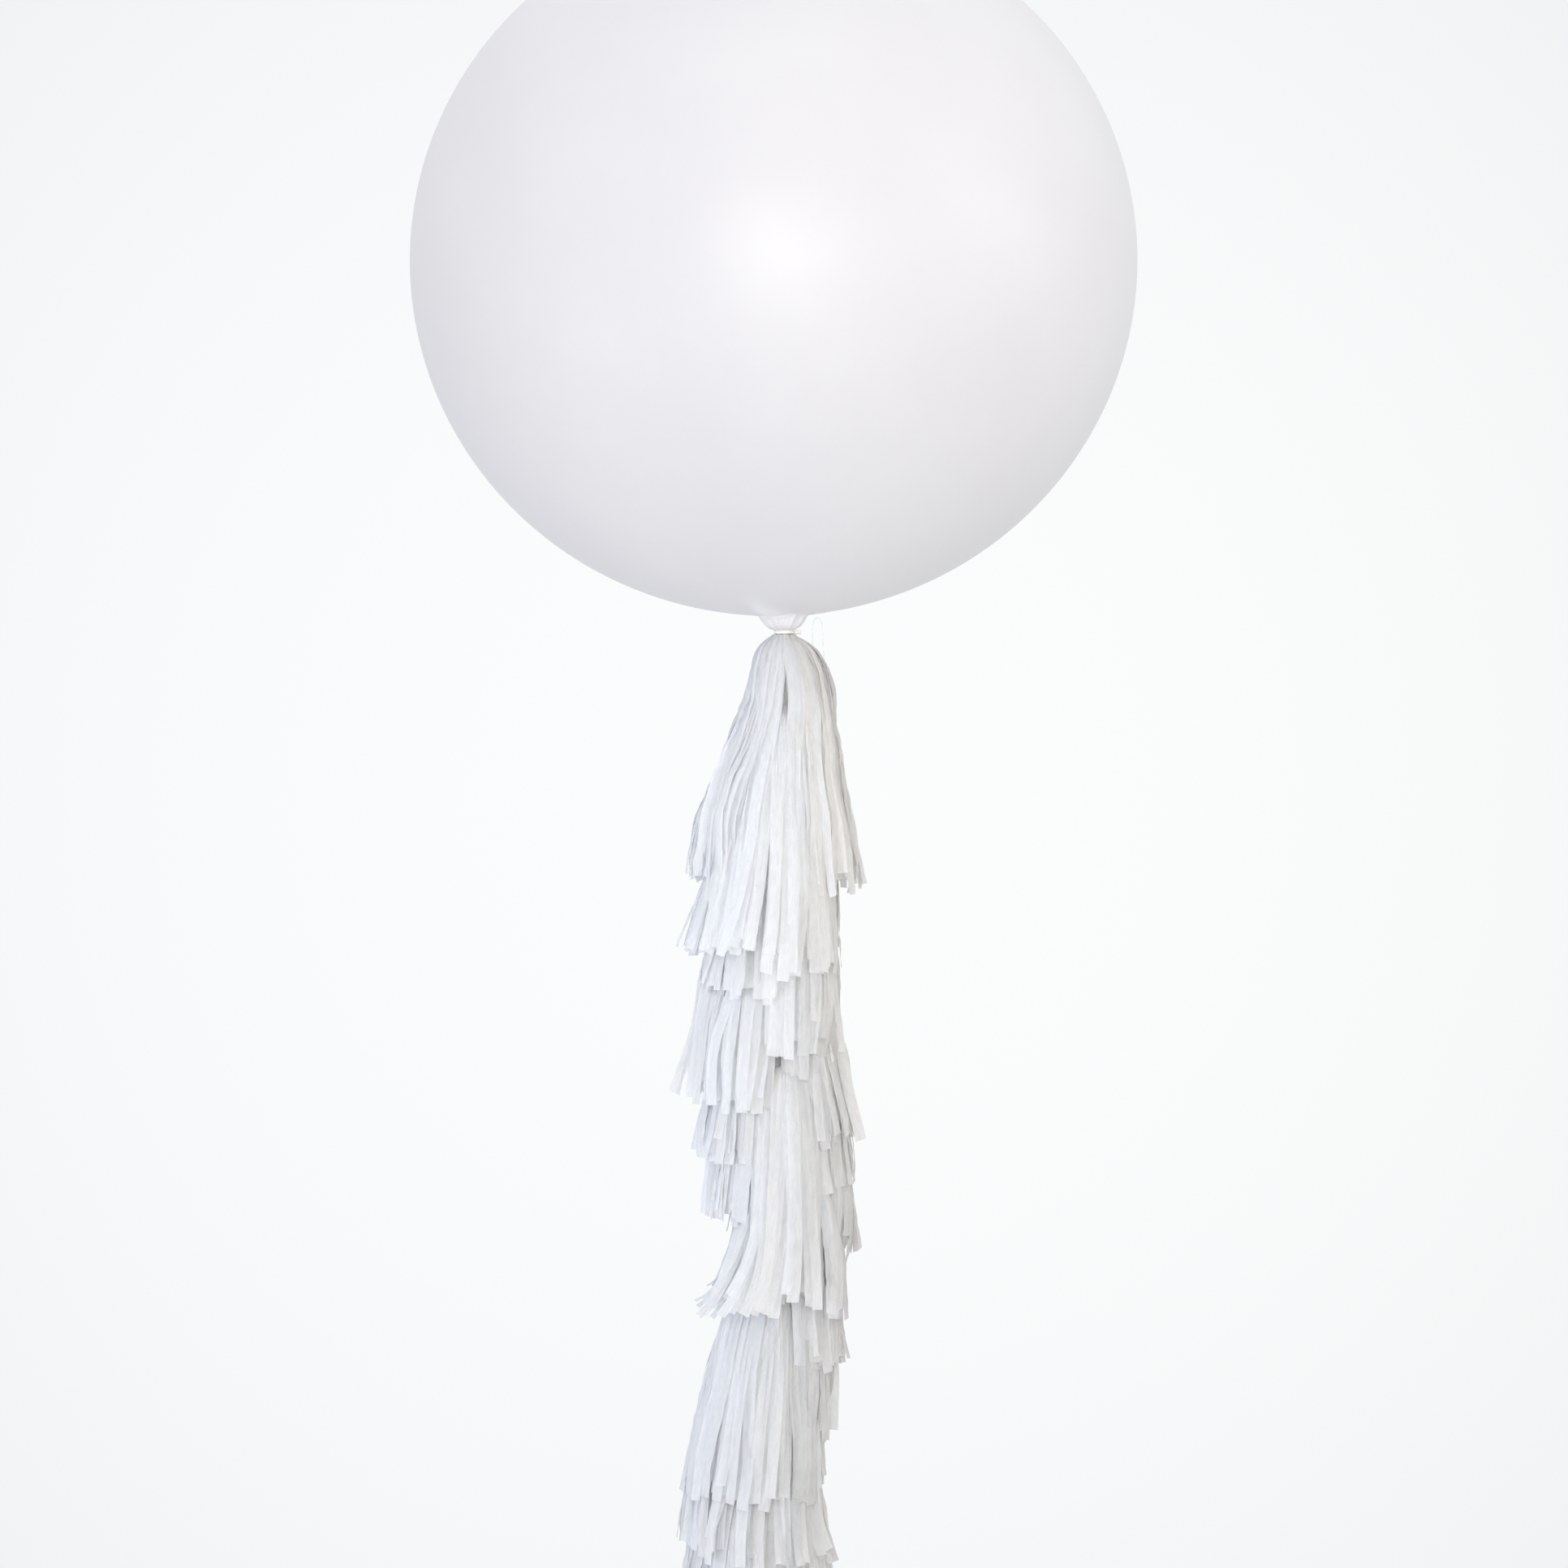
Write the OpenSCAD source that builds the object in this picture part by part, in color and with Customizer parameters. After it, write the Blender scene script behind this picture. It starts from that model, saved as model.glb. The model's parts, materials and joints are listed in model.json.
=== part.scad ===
// Giant round latex balloon with a tissue-paper tassel tail.
// Millimetres, +Z up, front is -Y. The origin is the tie: the middle of the gathered neck,
// where the tail line is looped. The globe is above it and the tail hangs below it.

/* [Globe] */
// Widest diameter of the inflated globe
globe_d = 914.4; // [700:0.1:1000]
// Height of the globe as a share of its diameter
globe_flat = 0.969; // [0.94:0.001:1]
// Thickness of the latex skin
skin_t = 1; // [0.8:0.1:2]
// Lean of the globe to the left of its neck, in degrees
lean = 1.6; // [0:0.1:3]

/* [Neck] */
// Radius of the neck where it leaves the globe
neck_r = 31.5; // [28:0.5:36]
// Height of the globe's underside above the tie
neck_h = 21; // [18:0.5:26]
// Radius of the gathered latex inside the tie
throat_r = 11; // [10:0.25:11.5]
// Radius of the knot below the tie
knot_r = 9.5; // [9:0.1:9.6]
// Height of the band wound round the neck
band_h = 5; // [4:0.5:5]
// Length of the band's cut end that stands out to the side
tab_l = 9; // [5:0.5:11]

/* [Tassels] */
// Number of tassels on the tail
tassel_count = 16; // [16:1:16]
// Distance from one tassel's head to the next
pitch = 76; // [70:1:80]
// Length of the strips that hang from a head
fringe_l = 333; // [300:1:335]
// Radius of a tassel at its hem
hem_r = 98; // [90:1:105]
// Radial thickness of the layered strips
fringe_t = 4; // [3:0.5:5]
// Outer radius of a tassel's twisted head
head_r = 10; // [9.5:0.1:10]

/* [Line] */
// Diameter of the line that carries the tassels
line_d = 2; // [1.5:0.1:2]
// Radius of a knot in the line
line_knot_r = 3.6; // [3:0.1:3.8]
// Diameter of the clear spare strand at the neck
strand_d = 1; // [0.8:0.1:1.2]

/* [Hidden] */
GLOBE_FACETS = 96;
SMALL_FACETS = 48;
line_r = line_d / 2;
gap = 0.4;

// Globe, neck and knot
globe_rx = globe_d / 2;
globe_rz = globe_rx * globe_flat;
globe_z = neck_h + globe_rz;
neck_wall = 2;
channel_r = 1.5;
throat_foot_r = 7.6;
throat_foot_z = -8.7;
throat_top_z = 2.7;
knot_top_z = -9;
knot_h = 10;
mouth_w = 14;
mouth_t = 4;
mouth_top_z = knot_top_z - knot_h;
mouth_l = 14;
bead_r = 1.1;
band_t = 1.2;
tab_h = 6.5;

// Tail loop at the neck: the line's turns, the first tassel's head and the sling under the mouth
loop_turn_z = [-5.2, -7.2];
loop_turn_r = 9.3;
first_head_z = -10;
first_head_in = 13;
first_head_out = 19;
sling_z = -52;

// The tail: hinge_tassels are the tassels whose heads sit on a bend of the line
hinge_tassels = [6, 10, 14];
first_tassel = [2, 6, 10, 14];
last_tassel = [5, 9, 13, tassel_count];
head_h = 16;
head_bore_r = 5.6;
end_loop_r = 6;
fringe_power = 0.565;
fringe_rings = 14;

function head_z(i) = first_head_z - pitch * (i - 1);
function two_digits(i) = i < 10 ? str("0", i) : str(i);
function tassel_name(i, part) = str("tassel_", two_digits(i), "_", part);
function joint_z(k) = k == 1 ? sling_z : head_z(hinge_tassels[k - 2]);
function segment_end_z(k) = k < 4 ? joint_z(k + 1) : head_z(tassel_count);

// Spare strand of the line: out of the neck loop, up beside the neck and down past the first tassel
strand_route = [
    [11, 0, -6], [15, 0, -6.5], [20, 0, -8], [25, 0, -11], [30, 0, -15], [34, 0, -18],
    [36, 0, -15], [36, 0, -9], [36, 0, -2], [36, 0, 5], [36.5, 0, 11], [38.5, 0, 16],
    [42, 0, 18], [45.5, 0, 16], [48, 0, 11], [48.5, 0, 4], [49, 0, -4], [49, 0, -12],
    [49.5, 0, -20], [50, 0, -28], [51, 0, -36], [52.5, 0, -44], [54, 0, -52], [55, 0, -57]
];
// One leg of the sling, from the neck loop down past the knot and the mouth
sling_route = [
    [0, 11.3, -9], [0, 11.3, -16], [0, 11.3, -23], [0, 11, -29],
    [0, 10.3, -34.5], [0, 8, -39.5], [0, 5.2, -43.8], [0, 2.7, -47.2]
];

// ---- outlines ----

// The neck's outline, from the throat up to the globe: full below the globe, quick to close at the tie.
// down is 0 at the globe and 1 at the throat.
function funnel_r(down) = throat_r + (neck_r - throat_r) * (1 - 0.68 * down - 0.32 * pow(down, 6));
function funnel(inset) = [for (i = [1:9])
    [funnel_r(1 - i / 10) - inset, throat_top_z + (neck_h - throat_top_z) * i / 10]];

// Half of the globe's outline, from where the neck leaves it to the top
function globe_arc(rx, rz, from_r, steps) = let(start = -acos(from_r / rx))
    [for (i = [0:steps]) let(a = start + (90 - start) * i / steps) [rx * cos(a), globe_z + rz * sin(a)]];

function reversed(points) = [for (i = [len(points) - 1:-1:0]) points[i]];

// Outer radius of a tassel at a distance below its head's middle
function fringe_r(s) = head_r + (hem_r - head_r) * pow(s / fringe_l, fringe_power);
function fringe_steps(from) = [for (i = [0:fringe_rings])
    from + (fringe_l - from) * pow(i / fringe_rings, 1.5)];

// ---- a tube swept along a route ----

function unit(v) = v / norm(v);
function heading(route, i) = unit(route[min(i + 1, len(route) - 1)] - route[max(i - 1, 0)]);
function ring_points(route, i, r, sides, side) = let(
    along = heading(route, i),
    across = unit(cross(along, side)),
    over = cross(along, across)
) [for (k = [0:sides - 1]) route[i] + r * (cos(360 * k / sides) * across + sin(360 * k / sides) * over)];

module tube(route, r, side) {
    sides = 8;
    rings = len(route);
    points = [for (i = [0:rings - 1]) each ring_points(route, i, r, sides, side)];
    walls = [for (i = [0:rings - 2]) for (k = [0:sides - 1])
        [i * sides + k, i * sides + (k + 1) % sides, (i + 1) * sides + (k + 1) % sides, (i + 1) * sides + k]];
    start_cap = [[for (k = [sides - 1:-1:0]) k]];
    end_cap = [[for (k = [0:sides - 1]) (rings - 1) * sides + k]];
    polyhedron(points, concat(walls, start_cap, end_cap));
}

// ---- balloon ----

// The globe and its neck: one moulded skin, gathered at the throat
module balloon_envelope() {
    outer_top = globe_arc(globe_rx, globe_rz, neck_r, 48);
    inner_top = globe_arc(globe_rx - skin_t, globe_rz - skin_t, neck_r - neck_wall, 48);
    throat = [
        [channel_r, throat_foot_z], [throat_foot_r, throat_foot_z],
        [throat_foot_r, -3], [throat_r, -throat_top_z], [throat_r, throat_top_z]
    ];
    outer = concat(throat, funnel(0), outer_top);
    inner = concat([[channel_r, throat_top_z + 1]], funnel(neck_wall), inner_top);
    color([0.96, 0.96, 0.97])
        rotate([0, -lean, 0])
            rotate_extrude($fn = GLOBE_FACETS)
                polygon(concat(outer, reversed(inner)));
}

// The knot that closes the neck: a rolled collar with a waist at each end
module neck_knot() {
    lower = [[0, 0], [6, 0], [knot_r - 0.9, 1.6], [knot_r, 4]];
    upper = [[knot_r, 6], [knot_r - 0.7, 8.4], [throat_foot_r, knot_h], [0, knot_h]];
    color([0.95, 0.95, 0.96])
        translate([0, 0, mouth_top_z])
            rotate_extrude($fn = SMALL_FACETS) polygon(concat(lower, upper));
}

module mouth_outline(inset) {
    half = mouth_w / 2 - mouth_t / 2;
    square([2 * half, mouth_t - 2 * inset], center = true);
    for (side = [-1, 1]) translate([side * half, 0]) circle(r = mouth_t / 2 - inset, $fn = SMALL_FACETS);
}

// The loose end of the neck beyond the knot, pressed flat
module mouth_tube() {
    color([0.97, 0.97, 0.98])
        translate([0, 0, mouth_top_z - mouth_l])
            linear_extrude(mouth_l)
                difference() {
                    mouth_outline(0);
                    mouth_outline(0.8);
                }
}

// The rolled rim at the mouth
module lip_bead() {
    half = mouth_w / 2 - mouth_t / 2;
    color([0.97, 0.97, 0.98])
        translate([0, 0, mouth_top_z - mouth_l - bead_r]) {
            for (side = [-1, 1])
                translate([side * half, 0, 0]) rotate([0, 0, side * 90 - 180])
                    rotate_extrude(angle = 180, $fn = SMALL_FACETS)
                        translate([mouth_t / 2, 0]) circle(r = bead_r, $fn = 24);
            for (side = [-1, 1])
                translate([0, side * mouth_t / 2, 0]) rotate([0, 90, 0])
                    cylinder(h = 2 * half, r = bead_r, center = true, $fn = 24);
        }
}

// The band wound round the gathered neck
module tie_band() {
    inner = throat_r + 0.5;
    color([0.93, 0.93, 0.93])
        translate([0, 0, -band_h / 2 + 0.2])
            rotate_extrude($fn = SMALL_FACETS)
                translate([inner, 0]) square([band_t, band_h - 0.4]);
}

// The band's cut end, standing out to the right
module tie_tab() {
    start = throat_r + 0.5 + band_t + 0.2;
    color([0.9, 0.89, 0.87])
        translate([start, -band_t / 2, -tab_h / 2 - 0.2]) cube([tab_l, band_t, tab_h]);
}

// ---- tail loop at the neck ----

// A closed turn of the line, pulled a little thinner than its straight runs
module line_ring(radius) {
    rotate_extrude($fn = SMALL_FACETS) translate([radius, 0]) circle(r = line_r * 0.98, $fn = 24);
}

// The line's two turns round the throat, trapped between the band and the knot
module neck_loop() {
    color([0.97, 0.97, 0.97])
        for (z = loop_turn_z) translate([0, 0, z]) line_ring(loop_turn_r);
}

// The sling's two legs, one each side of the knot and the mouth
module line_sling() {
    color([0.97, 0.97, 0.97])
        for (side = [0, 180]) rotate([0, 0, side]) tube(sling_route, line_r, [1, 0, 0]);
}

module sling_knot() {
    color([0.97, 0.97, 0.97])
        translate([0, 0, sling_z]) sphere(r = line_knot_r, $fn = SMALL_FACETS);
}

// A clear end of the line left long at the neck
module spare_strand() {
    color([0.88, 0.93, 0.97, 0.5]) tube(strand_route, strand_d / 2, [0, 1, 0]);
}

// ---- tail line ----

// A straight run of the line, from below one joint to just above the next
module tail_line(k) {
    top = joint_z(k) - line_knot_r - gap;
    bottom = k < 4 ? segment_end_z(k) + line_knot_r : head_z(tassel_count) - 2 * head_h;
    steps = 7;
    color([0.97, 0.97, 0.97])
        tube([for (i = [0:steps]) [0, 0, top + (bottom - top) * i / steps]], line_r, [1, 0, 0]);
}

// The knots that carry the heads of one run. The lowest knot of runs 1 to 3 is a bend of the tail.
module line_knots(k) {
    bend = k < 4 ? [last_tassel[k - 1] + 1] : [];
    color([0.96, 0.96, 0.96]) {
        for (i = [first_tassel[k - 1] + (k > 1 ? 1 : 0):last_tassel[k - 1]])
            translate([0, 0, head_z(i)]) difference() {
                sphere(r = line_knot_r, $fn = SMALL_FACETS);
                cylinder(h = 3 * line_knot_r, r = line_r + 0.1, center = true, $fn = 24);
            }
        for (i = bend) translate([0, 0, head_z(i)]) sphere(r = line_knot_r, $fn = SMALL_FACETS);
    }
}

// The small loop tied in the line's lower end
module tail_end_loop() {
    color([0.97, 0.97, 0.97])
        translate([0, 0, head_z(tassel_count) - 2 * head_h - end_loop_r - line_r])
            rotate([90, 0, 0]) line_ring(end_loop_r);
}

// ---- tassels ----

// The twisted, uncut middle of a tassel's sheets, bound on a knot of the line.
// The first one is wrapped round the neck's knot.
module tassel_head(i) {
    first = i == 1;
    bore = first ? first_head_in : head_bore_r;
    outer = first ? first_head_out : head_r;
    half = first ? 6 : head_h / 2;
    middle = first ? -15 : head_z(i);
    waist = outer - 1.8;
    lower = [[bore, -half], [waist, -half], [outer, -half / 2]];
    upper = [[outer, half / 2], [waist, half], [bore, half]];
    color([0.93, 0.93, 0.94])
        translate([0, 0, middle])
            rotate_extrude($fn = SMALL_FACETS) polygon(concat(lower, upper));
}

// The strips of a tassel, as one bell that flares from the head to an even hem
module tassel_fringe(i) {
    first = i == 1;
    from = first ? 13 : 2;
    steps = fringe_steps(from);
    outer = [for (s = steps) [fringe_r(s), -s]];
    inner_from = first ? from : 14;
    inner = [for (s = fringe_steps(inner_from)) [fringe_r(s) - fringe_t, -s]];
    neck = first ? [] : [[head_r + gap, -from], [head_r + gap, -from - 7]];
    color([0.95, 0.95, 0.96])
        translate([0, 0, head_z(i)])
            rotate_extrude($fn = SMALL_FACETS)
                polygon(concat(outer, reversed(inner), reversed(neck)));
}

// ---- assembly ----

balloon_envelope();
neck_knot();
mouth_tube();
lip_bead();
tie_band();
tie_tab();
neck_loop();
line_sling();
sling_knot();
spare_strand();
tail_end_loop();
for (k = [1:4]) {
    tail_line(k);
    line_knots(k);
}
for (i = [1:tassel_count]) {
    tassel_head(i);
    tassel_fringe(i);
}
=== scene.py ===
"""Giant round latex balloon with a tissue-paper tassel tail.

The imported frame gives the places. This script gives the looks: the latex skin with its gathered neck,
the tie, the line with its knots, and the loose strips of each tassel. Metres, +Z up, front -Y.
"""
import json
import math
from collections import namedtuple

import bpy
import numpy as np
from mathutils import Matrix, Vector


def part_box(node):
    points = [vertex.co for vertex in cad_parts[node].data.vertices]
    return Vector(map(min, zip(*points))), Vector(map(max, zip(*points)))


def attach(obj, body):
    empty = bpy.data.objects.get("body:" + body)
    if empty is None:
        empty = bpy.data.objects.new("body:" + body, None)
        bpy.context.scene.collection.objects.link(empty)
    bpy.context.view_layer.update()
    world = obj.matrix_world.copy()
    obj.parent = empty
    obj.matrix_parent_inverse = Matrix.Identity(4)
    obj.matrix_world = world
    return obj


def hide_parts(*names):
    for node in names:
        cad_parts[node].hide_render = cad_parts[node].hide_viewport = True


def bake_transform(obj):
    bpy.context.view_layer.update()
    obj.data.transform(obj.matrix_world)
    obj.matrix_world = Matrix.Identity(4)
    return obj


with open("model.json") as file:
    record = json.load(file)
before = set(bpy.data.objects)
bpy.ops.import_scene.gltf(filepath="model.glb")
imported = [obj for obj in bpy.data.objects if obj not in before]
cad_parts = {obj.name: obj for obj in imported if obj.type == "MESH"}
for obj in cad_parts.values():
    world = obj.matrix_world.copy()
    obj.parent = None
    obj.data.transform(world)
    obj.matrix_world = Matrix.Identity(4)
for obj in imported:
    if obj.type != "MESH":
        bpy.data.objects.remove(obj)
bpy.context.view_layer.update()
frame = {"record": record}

SEED = 36
MM = 0.001
TAU = 2 * math.pi

# ---- places and sizes: what the frame doesn't give is the same as in the part's source ----

JOINTS = frame["record"]["behaviour"]["joints"]
BODIES = frame["record"]["behaviour"]["bodies"]
BODY_OF = {node: body for body, nodes in BODIES.items() for node in nodes}
TASSELS = sum(1 for node in BODY_OF if node.endswith("_fringe"))
LINE_RUNS = sum(1 for node in BODY_OF if node.startswith("tail_line_"))
GLOBE_LOW, GLOBE_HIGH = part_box("balloon_envelope")
NECK_H = 21 * MM
GLOBE_RX = (GLOBE_HIGH[1] - GLOBE_LOW[1]) / 2
GLOBE_RZ = (GLOBE_HIGH[2] - NECK_H) / 2
GLOBE_Z = NECK_H + GLOBE_RZ
LEAN = math.radians(1.6)
NECK_R = 31.5 * MM
THROAT_R = 11 * MM
THROAT_FOOT_R = 7.6 * MM
THROAT_TOP_Z = 2.7 * MM
LINE_R = 1 * MM
# The line is a little thinner where it is bent into a loop
LOOP_LINE_R = 0.98 * LINE_R
STRAND_R = 0.5 * MM
KNOT_R = 3.6 * MM


def tassel_node(i, part):
    return f"tassel_{i:02d}_{part}"


def middle(node):
    low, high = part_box(node)
    return (Vector(low) + Vector(high)) / 2


# ---- camera ----

# It looks level along +Y. FRAME_WIDTH is how wide the view is at the object, in metres
CAMERA_DISTANCE = 5.0
CAMERA_Z = -0.1914
FRAME_WIDTH = 1.9774
SENSOR_MM = 36


def make_camera():
    data = bpy.data.cameras.new("camera")
    data.sensor_width = SENSOR_MM
    data.lens = SENSOR_MM * CAMERA_DISTANCE / FRAME_WIDTH
    camera = bpy.data.objects.new("camera", data)
    camera.location = (0, -CAMERA_DISTANCE, CAMERA_Z)
    camera.rotation_euler = (math.pi / 2, 0, 0)
    bpy.context.scene.collection.objects.link(camera)
    bpy.context.scene.camera = camera


make_camera()

# ---- small helpers ----


def add_object(name, data):
    obj = bpy.data.objects.new(name, data)
    bpy.context.scene.collection.objects.link(obj)
    return obj


def mesh_object(name, verts, faces, material):
    mesh = bpy.data.meshes.new(name)
    mesh.from_pydata([tuple(v) for v in verts], [], faces)
    mesh.materials.append(material)
    mesh.polygons.foreach_set("use_smooth", [True] * len(mesh.polygons))
    mesh.update()
    return add_object(name, mesh)


def set_layer(piece, name, values):
    """One number for each vertex, for the piece's material to read."""
    layer = piece.data.attributes.new(name, "FLOAT", "POINT")
    layer.data.foreach_set("value", values)


def set_uv(piece, values):
    """values holds two numbers for each corner of each face."""
    layer = piece.data.uv_layers.new(name="UVMap")
    layer.data.foreach_set("uv", values)


def grid_faces(rows, columns, closed):
    """Quads of a grid of points, row after row. closed joins each row's end to its start."""
    faces = []
    for row in range(0, (rows - 1) * columns, columns):
        above = row + columns
        for c in range(columns if closed else columns - 1):
            after = (c + 1) % columns
            faces.append((row + c, row + after, above + after, above + c))
    return faces


def add_spline(data, points, closed):
    spline = data.splines.new("POLY")
    spline.points.add(len(points) - 1)
    for p, co in zip(spline.points, points):
        p.co = (*co, 1)
    spline.use_cyclic_u = closed
    spline.use_smooth = True


def curve_object(name, points, radius, material, closed=False):
    """A round cord along the points, as a curve of one spline."""
    data = bpy.data.curves.new(name, "CURVE")
    data.dimensions = "3D"
    data.bevel_depth = radius
    data.bevel_resolution = 4
    data.use_fill_caps = True
    add_spline(data, points, closed)
    data.materials.append(material)
    return add_object(name, data)


def along(points, spacing):
    """Points on a smooth line through the given ones, about spacing apart (Catmull-Rom)."""
    pts = [Vector(p) for p in points]
    pts = [2 * pts[0] - pts[1]] + pts + [2 * pts[-1] - pts[-2]]
    out = []
    for a, b, c, d in zip(pts, pts[1:], pts[2:], pts[3:]):
        squared = 2 * a - 5 * b + 4 * c - d
        cubed = 3 * b - a - 3 * c + d
        steps = max(1, round((c - b).length / spacing))
        for k in range(steps):
            t = k / steps
            out.append(0.5 * (2 * b + (c - a) * t + squared * t**2 + cubed * t**3))
    out.append(pts[-2])
    return out


def belong(piece, node):
    """The piece stands for one CAD node, which is hidden, and rides on its body."""
    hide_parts(node)
    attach(piece, BODY_OF[node])
    return piece


# ---- materials ----


def new_material(name):
    material = bpy.data.materials.new(name)
    material.use_nodes = True
    tree = material.node_tree
    return material, tree, tree.nodes["Principled BSDF"]


def add_node(tree, kind, **values):
    """A shader node, with its properties and its inputs' values set by name."""
    node = tree.nodes.new(kind)
    for key, value in values.items():
        if hasattr(node, key):
            setattr(node, key, value)
        else:
            node.inputs[key.replace("_", " ")].default_value = value
    return node


def stretched_noise(tree, coordinates, stretch, scale, detail=3.0):
    """Noise on coordinates that are stretched first, so that its grain has a direction."""
    mapping = add_node(tree, "ShaderNodeMapping")
    mapping.inputs["Scale"].default_value = stretch
    tree.links.new(coordinates, mapping.inputs["Vector"])
    noise = add_node(tree, "ShaderNodeTexNoise", Scale=scale, Detail=detail)
    tree.links.new(mapping.outputs["Vector"], noise.inputs["Vector"])
    return noise


def ramp(tree, value, low, high, low_at=0.0, high_at=1.0):
    """A colour that goes from low to high with the value."""
    node = add_node(tree, "ShaderNodeValToRGB")
    node.color_ramp.elements[0].position = low_at
    node.color_ramp.elements[1].position = high_at
    node.color_ramp.elements[0].color = (*low, 1)
    node.color_ramp.elements[1].color = (*high, 1)
    tree.links.new(value, node.inputs["Fac"])
    return node.outputs["Color"]


def set_bump(tree, shader, height, strength, distance):
    bump = add_node(tree, "ShaderNodeBump", Strength=strength, Distance=distance)
    tree.links.new(height, bump.inputs["Height"])
    tree.links.new(bump.outputs["Normal"], shader.inputs["Normal"])
    return bump.outputs["Normal"]


def mix_colours(tree, factor, a, b):
    node = add_node(tree, "ShaderNodeMix", data_type="RGBA")
    tree.links.new(factor, node.inputs["Factor"])
    tree.links.new(a, node.inputs["A"])
    tree.links.new(b, node.inputs["B"])
    return node.outputs["Result"]


def multiply_colours(tree, a, b):
    node = add_node(tree, "ShaderNodeMix", data_type="RGBA", blend_type="MULTIPLY")
    node.inputs["Factor"].default_value = 1.0
    tree.links.new(a, node.inputs["A"])
    tree.links.new(b, node.inputs["B"])
    return node.outputs["Result"]


def object_place(tree):
    return add_node(tree, "ShaderNodeTexCoord").outputs["Object"]


def latex_material():
    """Stretched white latex: satin, a little deep, milkier where it is thick at the neck and the crown."""
    material, tree, shader = new_material("white_latex")
    place = object_place(tree)
    cloud = stretched_noise(tree, place, (1, 1, 1), 5.0)
    stretched = ramp(tree, cloud.outputs["Fac"], (0.775, 0.755, 0.768), (0.805, 0.786, 0.797), 0.3, 0.7)
    gathered = ramp(tree, cloud.outputs["Fac"], (0.87, 0.86, 0.855), (0.91, 0.90, 0.895), 0.3, 0.7)
    thick = add_node(tree, "ShaderNodeAttribute", attribute_name="thick")
    skin = mix_colours(tree, thick.outputs["Fac"], stretched, gathered)
    tree.links.new(skin, shader.inputs["Base Color"])
    haze = stretched_noise(tree, place, (1, 1, 1), 28.0, 5.0)
    rough = add_node(tree, "ShaderNodeMapRange", To_Min=0.40, To_Max=0.46)
    tree.links.new(haze.outputs["Fac"], rough.inputs["Value"])
    tree.links.new(rough.outputs["Result"], shader.inputs["Roughness"])
    grain = stretched_noise(tree, place, (1, 1, 1), 900.0, 2.0)
    set_bump(tree, shader, grain.outputs["Fac"], 0.12, 0.00012)
    shader.inputs["IOR"].default_value = 1.52
    shader.inputs["Subsurface Weight"].default_value = 0.12
    shader.inputs["Subsurface Radius"].default_value = (0.02, 0.018, 0.016)
    shader.inputs["Subsurface Scale"].default_value = 1.0
    shader.inputs["Specular IOR Level"].default_value = 0.7
    shader.inputs["Coat Weight"].default_value = 0.08
    shader.inputs["Coat Roughness"].default_value = 0.28
    shader.inputs["Sheen Weight"].default_value = 0.08
    return material


def tissue_material(name, low, high, see_through):
    """Thin tissue paper: long fine crinkles, a tone of each strip's own mixed with painted light (cooler on
    the lit left, warmer in the painted shade on the right), and light coming through.
    """
    material, tree, shader = new_material(name)
    strip = add_node(tree, "ShaderNodeUVMap").outputs["UV"]
    tone_and_side_light = add_node(tree, "ShaderNodeAttribute", attribute_name="tone_and_side_light")
    tint_and_side_light = ramp(tree, tone_and_side_light.outputs["Fac"], low, high)
    mottle = stretched_noise(tree, strip, (1, 0.25, 1), 240.0, 4.0)
    pulp = ramp(tree, mottle.outputs["Fac"], (0.94, 0.94, 0.94), (1, 1, 1), 0.35, 0.65)
    paper = multiply_colours(tree, tint_and_side_light, pulp)
    tree.links.new(paper, shader.inputs["Base Color"])
    crinkle = stretched_noise(tree, strip, (1, 0.09, 1), 420.0, 3.0)
    creases = stretched_noise(tree, strip, (1, 0.22, 1), 110.0, 3.0)
    both = add_node(tree, "ShaderNodeMath", operation="MULTIPLY_ADD")
    both.inputs[1].default_value = 0.45  # the crinkles' height against the creases'
    tree.links.new(crinkle.outputs["Fac"], both.inputs[0])
    tree.links.new(creases.outputs["Fac"], both.inputs[2])
    normal = set_bump(tree, shader, both.outputs[0], 0.8, 0.0028)
    shader.inputs["Roughness"].default_value = 0.62
    shader.inputs["Specular IOR Level"].default_value = 0.35
    shader.inputs["Sheen Weight"].default_value = 0.15
    through = add_node(tree, "ShaderNodeBsdfTranslucent")
    tree.links.new(paper, through.inputs["Color"])
    tree.links.new(normal, through.inputs["Normal"])
    sheet = add_node(tree, "ShaderNodeMixShader", Fac=see_through)
    tree.links.new(shader.outputs["BSDF"], sheet.inputs[1])
    tree.links.new(through.outputs["BSDF"], sheet.inputs[2])
    tree.links.new(sheet.outputs["Shader"], tree.nodes["Material Output"].inputs["Surface"])
    return material


def bands(tree, direction, scale, distortion):
    """Fine stripes across the object, a little uneven."""
    stripes = add_node(tree, "ShaderNodeTexWave", wave_type="BANDS", bands_direction=direction,
                       Scale=scale, Distortion=distortion)
    tree.links.new(object_place(tree), stripes.inputs["Vector"])
    return stripes


def line_material():
    """Soft white twine: two plies that turn round each other."""
    material, tree, shader = new_material("white_twine")
    plies = bands(tree, "DIAGONAL", 420.0, 2.5)
    colour = ramp(tree, plies.outputs["Fac"], (0.72, 0.71, 0.69), (0.88, 0.875, 0.86), 0.1, 0.7)
    tree.links.new(colour, shader.inputs["Base Color"])
    set_bump(tree, shader, plies.outputs["Fac"], 0.7, 0.0003)
    shader.inputs["Roughness"].default_value = 0.85
    shader.inputs["Sheen Weight"].default_value = 0.3
    return material


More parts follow.
